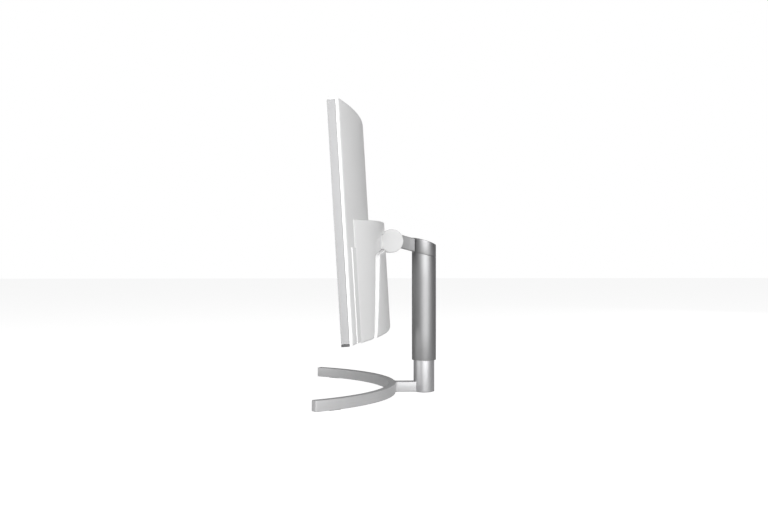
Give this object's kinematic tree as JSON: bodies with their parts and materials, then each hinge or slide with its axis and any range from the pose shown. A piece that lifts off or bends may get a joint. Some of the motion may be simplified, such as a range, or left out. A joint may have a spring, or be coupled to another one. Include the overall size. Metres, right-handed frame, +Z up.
{
  "type": "computer monitor",
  "caption": "Wide curved desktop monitor with a white rear housing, silver edge trims, tilt hinge, sliding round column and crescent foot.",
  "frame": {"origin": "on the desk, under the middle of the column", "axes": "+Z up along the column; the screen faces -Y; +X to the right of someone who faces the screen"},
  "size_m": [0.826, 0.2235, 0.4863],
  "materials": {
    "silver_trim": "fine satin anodised",
    "dark_bezel": "fine grained, dark grey",
    "white_cover": "semi-gloss white moulding",
    "screen_surface": "anti-glare coated LCD panel, dark when off",
    "black_plastic": "moulded",
    "optical_sheet": "diffusing film",
    "clear_acrylic": "polished edges",
    "led_strip": "bare, with white lamps",
    "sheet_steel": "zinc plated sheet",
    "circuit_board": "green solder mask",
    "heat_sink_metal": "extruded",
    "fastener_steel": "zinc plated",
    "ribbon_film": "polyimide film",
    "socket_metal": "nickel plated",
    "brass_insert": "knurled",
    "brushed_silver": "brushed along its length, clear anodised",
    "painted_silver": "satin silver",
    "bush_plastic": "low-friction acetal",
    "rubber_pad": "soft, matt"
  },
  "bodies": {
    "base": {"base_arc": "painted_silver", "base_neck": "painted_silver", "base_screw": "fastener_steel", "post": "brushed_silver", "post_bush": "bush_plastic", "lift_cylinder": "fastener_steel", "rubber_pads": "rubber_pad"},
    "column": {"sleeve": "brushed_silver", "sleeve_bush": "bush_plastic", "column_head": "painted_silver", "arm": "painted_silver", "arm_screw": "fastener_steel", "lift_rod": "fastener_steel"},
    "stick_cradle": {"stick_cradle": "black_plastic"},
    "stick_core": {"stick_core": "black_plastic"},
    "stick": {"stick_stem": "black_plastic", "stick_knob": "black_plastic"},
    "display": {"side_trim_left": "silver_trim", "side_trim_right": "silver_trim", "top_trim": "silver_trim", "bottom_bezel": "dark_bezel", "back_cover": "white_cover", "rear_housing": "white_cover", "lower_rear_cover": "white_cover", "hinge_cover": "white_cover", "hinge_cap_left": "white_cover", "hinge_cap_right": "white_cover", "lcd_panel": "screen_surface", "mid_frame": "black_plastic", "port_plate": "black_plastic", "headphone_socket": "black_plastic", "dc_inlet": "black_plastic", "stick_housing": "black_plastic", "optical_films": "optical_sheet", "reflector_sheet": "optical_sheet", "light_guide": "clear_acrylic", "led_bar": "led_strip", "back_chassis": "sheet_steel", "stand_plate": "sheet_steel", "plate_spacers": "sheet_steel", "main_board": "circuit_board", "timing_board": "circuit_board", "stick_board": "circuit_board", "heat_sink": "heat_sink_metal", "board_screws": "fastener_steel", "timing_spacers": "fastener_steel", "plate_screws": "fastener_steel", "hinge_shaft": "fastener_steel", "friction_washers": "fastener_steel", "hinge_nuts": "fastener_steel", "panel_ribbons": "ribbon_film", "hdmi_sockets": "socket_metal", "displayport_socket": "socket_metal", "usb_c_socket": "socket_metal", "usb_a_sockets": "socket_metal", "board_spacers": "brass_insert", "vesa_inserts": "brass_insert"}
  },
  "joints": [
    {"name": "height_slide", "type": "slide", "parent": "base", "child": "column", "axis": [0, 0, 1], "range_m": [-0.022, 0.088]},
    {"name": "tilt_hinge", "type": "hinge", "parent": "column", "child": "display", "pos_m": [0, -0.062, 0.278], "axis": [-1, 0, 0], "range_deg": [-1.6, 23.4]},
    {"name": "stick_fore_aft", "type": "hinge", "parent": "display", "child": "stick_cradle", "pos_m": [0, -0.08342, 0.13018], "axis": [1, 0, 0], "range_deg": [-8, 8], "stiffness_Nm_per_rad": 0.05},
    {"name": "stick_side", "type": "hinge", "parent": "stick_cradle", "child": "stick_core", "pos_m": [0, -0.08342, 0.13018], "axis": [0, 0.9983, 0.059], "range_deg": [-8, 8], "stiffness_Nm_per_rad": 0.05},
    {"name": "stick_press", "type": "slide", "parent": "stick_core", "child": "stick", "axis": [0, -0.059, 0.9983], "range_m": [0, 0.001], "stiffness_N_per_m": 800}
  ]
}
